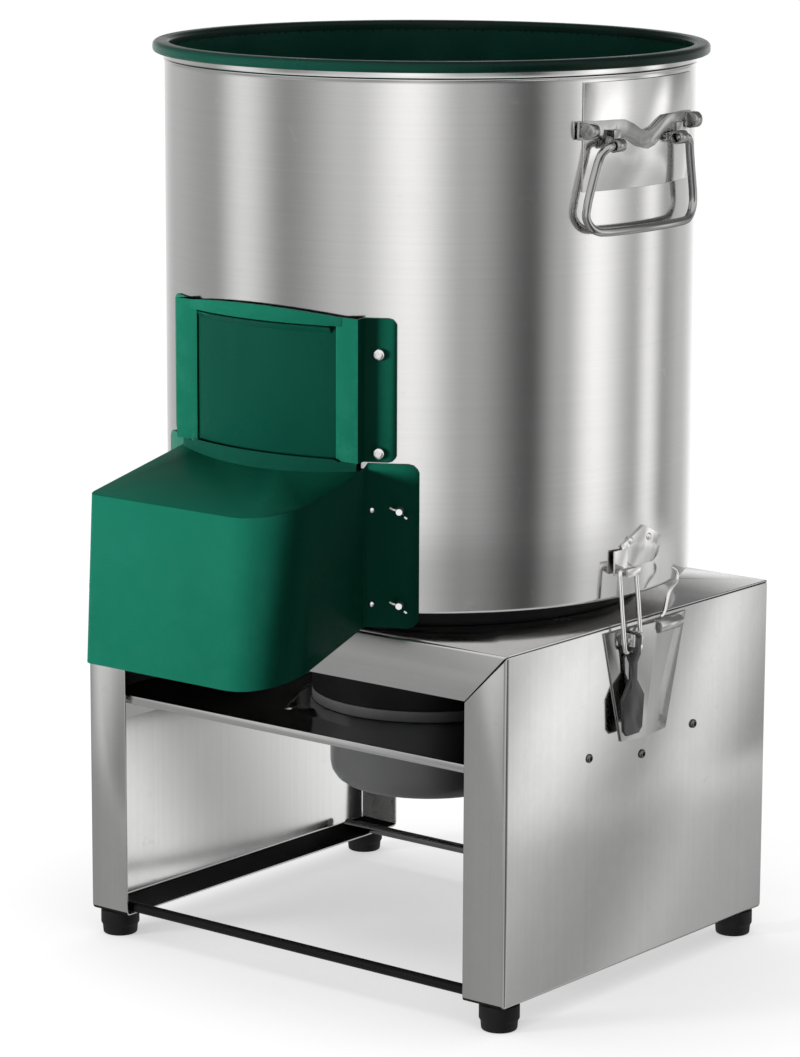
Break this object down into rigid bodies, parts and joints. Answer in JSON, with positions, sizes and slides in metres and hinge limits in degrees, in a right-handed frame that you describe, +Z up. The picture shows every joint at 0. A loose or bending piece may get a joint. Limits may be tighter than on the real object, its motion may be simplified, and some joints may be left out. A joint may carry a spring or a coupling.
{
  "type": "grape crusher destemmer",
  "caption": "Open steel drum with a beater rotor over a folded sheet base that holds its motor, with a green sliding gate and a downward outlet hood on the front.",
  "frame": {"origin": "centre of the footprint box, on the floor", "axes": "+Z up, the outlet hood towards -Y, +X to the right seen from the hood"},
  "size_m": [0.4348, 0.502, 0.6973],
  "materials": {
    "stainless": "brushed, softly reflecting",
    "polished_steel": "polished",
    "dark_steel": "dull, in shade",
    "green_coat": "satin powder coat",
    "liner_green": "satin enamel",
    "black_paint": "satin black",
    "black_rubber": "matt",
    "motor_paint": "satin grey paint"
  },
  "bodies": {
    "machine": {"bearing_housing": "motor_paint", "cable_gland": "black_paint", "chute_hood": "green_coat", "deck_plate": "dark_steel", "drum_gasket": "black_rubber", "drum_liner": "liner_green", "drum_shell": "stainless", "floor_screen": "polished_steel", "foot_front_left": "black_rubber", "foot_front_right": "black_rubber", "foot_rear_left": "black_rubber", "foot_rear_right": "black_rubber", "front_tie_rod": "black_paint", "gate_bolt_left_lower": "polished_steel", "gate_bolt_left_upper": "polished_steel", "gate_bolt_right_lower": "polished_steel", "gate_bolt_right_upper": "polished_steel", "gate_frame": "green_coat", "handle_bracket_left": "dark_steel", "handle_bracket_right": "dark_steel", "handle_plate_left": "polished_steel", "handle_plate_right": "polished_steel", "hood_bolt_left_lower": "polished_steel", "hood_bolt_left_upper": "polished_steel", "hood_bolt_right_lower": "polished_steel", "hood_bolt_right_upper": "polished_steel", "latch_bracket_left": "stainless", "latch_bracket_right": "stainless", "latch_clip_left": "polished_steel", "latch_clip_right": "polished_steel", "latch_keeper_left": "polished_steel", "latch_keeper_right": "polished_steel", "motor_body": "motor_paint", "panel_screw_left_1": "dark_steel", "panel_screw_left_2": "dark_steel", "panel_screw_left_3": "dark_steel", "panel_screw_right_1": "dark_steel", "panel_screw_right_2": "dark_steel", "panel_screw_right_3": "dark_steel", "rear_panel": "dark_steel", "rear_tie_rod": "black_paint", "screen_ring": "polished_steel", "seal_sleeve": "black_rubber", "side_panel_left": "stainless", "side_panel_right": "stainless", "switch_box": "black_paint", "top_plate": "stainless"},
    "rotor": {"main_shaft": "polished_steel", "sweeper": "polished_steel", "beater_rotor": "polished_steel", "rotor_cap": "polished_steel"},
    "gate": {"gate_panel": "green_coat"},
    "bail_right": {"handle_bail_right": "polished_steel"},
    "bail_left": {"handle_bail_left": "polished_steel"},
    "lever_right": {"latch_lever_right": "black_paint"},
    "lever_left": {"latch_lever_left": "black_paint"},
    "loop_right": {"latch_bail_right": "polished_steel"},
    "loop_left": {"latch_bail_left": "polished_steel"},
    "rocker": {"switch_rocker": "black_rubber"}
  },
  "joints": [
    {"name": "rotor_spin", "type": "hinge", "parent": "machine", "child": "rotor", "pos_m": [0, 0.042, 0.3], "axis": [0, 0, 1], "continuous": true},
    {"name": "gate_slide", "type": "slide", "parent": "machine", "child": "gate", "axis": [0, 0, -1], "range_m": [0, 0.095]},
    {"name": "handle_right_swing", "type": "hinge", "parent": "machine", "child": "bail_right", "pos_m": [0.20513, 0.035, 0.635], "axis": [0, -1, 0], "range_deg": [0, 95]},
    {"name": "handle_left_swing", "type": "hinge", "parent": "machine", "child": "bail_left", "pos_m": [-0.20513, 0.049, 0.635], "axis": [0, 1, 0], "range_deg": [0, 95]},
    {"name": "latch_right_lever", "type": "hinge", "parent": "machine", "child": "lever_right", "pos_m": [0.2128, 0.0145, 0.2721], "axis": [0, -1, 0], "range_deg": [0, 110]},
    {"name": "latch_left_lever", "type": "hinge", "parent": "machine", "child": "lever_left", "pos_m": [-0.2128, 0.0695, 0.2721], "axis": [0, 1, 0], "range_deg": [0, 110]},
    {"name": "latch_right_loop", "type": "hinge", "parent": "lever_right", "child": "loop_right", "pos_m": [0.2128, 0.0145, 0.2631], "axis": [0, -1, 0], "range_deg": [-102, 0]},
    {"name": "latch_left_loop", "type": "hinge", "parent": "lever_left", "child": "loop_left", "pos_m": [-0.2128, 0.0695, 0.2631], "axis": [0, 1, 0], "range_deg": [-102, 0]},
    {"name": "switch_tip", "type": "hinge", "parent": "machine", "child": "rocker", "pos_m": [0.07, 0.2448, 0.215], "axis": [-1, 0, 0], "range_deg": [0, 16]}
  ],
  "couplings": [
    {"joint": "latch_right_loop", "follows": "latch_right_lever", "ratio": -0.91},
    {"joint": "latch_left_loop", "follows": "latch_left_lever", "ratio": -0.91}
  ]
}
